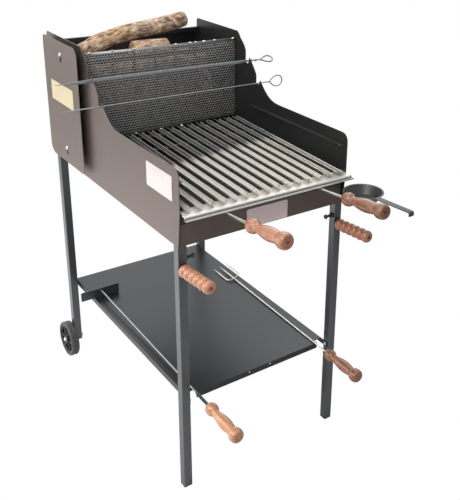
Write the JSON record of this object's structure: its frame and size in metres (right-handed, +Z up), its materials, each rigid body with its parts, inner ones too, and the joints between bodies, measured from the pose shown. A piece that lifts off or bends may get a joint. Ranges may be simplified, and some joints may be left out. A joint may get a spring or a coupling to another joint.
{
  "type": "charcoal grill",
  "caption": "Charcoal and wood grill on a wheeled stand, with a perforated ember screen, a sloping channel grate on wooden handles, a grease pan, skewers, rake and fork.",
  "frame": {"origin": "middle of the bounding box, on the floor", "axes": "+X to the cook's right, where the grease pan is, +Y from the front legs to the wheels, +Z up"},
  "size_m": [0.7554, 1.2018, 1.2303],
  "materials": {
    "paint": "brown-grey heat-resistant paint, matt",
    "frame": "dark blue-grey satin paint",
    "screen": "bare dark perforated sheet",
    "steel": "stainless steel, satin",
    "dark_steel": "heat-darkened steel",
    "zinc": "zinc plated",
    "iron": "black enamel",
    "wood": "turned hardwood, varnished",
    "rubber": "grey solid rubber",
    "plastic": "black moulded plastic",
    "bark": "rough split firewood and bark"
  },
  "bodies": {
    "stand": {"side_panel_left": "paint", "side_panel_right": "paint", "ash_floor": "paint", "front_panel": "paint", "rear_wall": "paint", "grate_ledge_left": "paint", "grate_ledge_right": "paint", "upper_ledge_left": "paint", "upper_ledge_right": "paint", "ledge_screw_left": "zinc", "ledge_screw_right": "zinc", "fire_screen": "screen", "screen_frame": "paint", "basket_floor": "paint", "shield_screw_1": "zinc", "shield_screw_2": "zinc", "leg_front_left": "frame", "leg_front_right": "frame", "leg_rear_left": "frame", "leg_rear_right": "frame", "foot_plug_left": "plastic", "foot_plug_right": "plastic", "clamp_bolt_left": "iron", "clamp_bolt_right": "iron", "shelf": "frame", "shelf_screw_1": "zinc", "shelf_screw_2": "zinc", "shelf_screw_3": "zinc", "shelf_screw_4": "zinc", "axle_bolt_left": "zinc", "axle_bolt_right": "zinc", "push_handle_left": "wood", "push_handle_right": "wood", "push_handle_screw_left": "zinc", "push_handle_screw_right": "zinc", "pan_tongue": "paint"},
    "wheel_left": {"tyre_left": "rubber", "wheel_hub_left": "plastic"},
    "wheel_right": {"tyre_right": "rubber", "wheel_hub_right": "plastic"},
    "grate": {"grate_bars": "steel", "grate_gutter": "steel", "grate_handle_rod_left": "steel", "grate_handle_rod_right": "steel", "grate_handle_left": "wood", "grate_handle_right": "wood"},
    "pan": {"grease_pan": "iron"},
    "flat_skewer": {"skewer_flat": "dark_steel"},
    "round_skewer": {"skewer_round": "steel"},
    "ember_rake": {"rake": "dark_steel", "rake_handle": "wood"},
    "meat_fork": {"fork": "steel", "fork_handle": "wood"},
    "shield": {"heat_shield": "paint"},
    "firewood": {"log_low_front": "bark", "log_low_rear": "bark", "log_front": "bark", "log_rear": "bark", "log_second": "bark", "log_leaning": "bark"}
  },
  "joints": [
    {"name": "wheel_left_spin", "type": "hinge", "parent": "stand", "child": "wheel_left", "pos_m": [-0.28055, 0.53839, 0.0648], "axis": [1, 0, 0], "continuous": true},
    {"name": "wheel_right_spin", "type": "hinge", "parent": "stand", "child": "wheel_right", "pos_m": [0.29105, 0.53839, 0.0648], "axis": [1, 0, 0], "continuous": true},
    {"name": "grate_slide", "type": "slide", "parent": "stand", "child": "grate", "axis": [0, -0.9995, -0.0332], "range_m": [0, 0.4]},
    {"name": "pan_slide", "type": "slide", "parent": "stand", "child": "pan", "axis": [0, -1, 0], "range_m": [0, 0.15]},
    {"name": "flat_skewer_turn", "type": "hinge", "parent": "stand", "child": "flat_skewer", "pos_m": [0, 0.22589, 1.0911], "axis": [1, 0, 0], "continuous": true},
    {"name": "round_skewer_turn", "type": "hinge", "parent": "stand", "child": "round_skewer", "pos_m": [0, 0.16189, 1.0306], "axis": [1, 0, 0], "continuous": true},
    {"name": "rake_lift", "type": "slide", "parent": "stand", "child": "ember_rake", "axis": [0, 0, 1], "range_m": [0, 0.15]},
    {"name": "fork_lift", "type": "slide", "parent": "stand", "child": "meat_fork", "axis": [0, 0, 1], "range_m": [0, 0.15]},
    {"name": "shield_lift", "type": "slide", "parent": "stand", "child": "shield", "axis": [0, 0, 1], "range_m": [0, 0.017]},
    {"name": "firewood_lift", "type": "slide", "parent": "stand", "child": "firewood", "axis": [0, 0, 1], "range_m": [0, 0.1]}
  ]
}
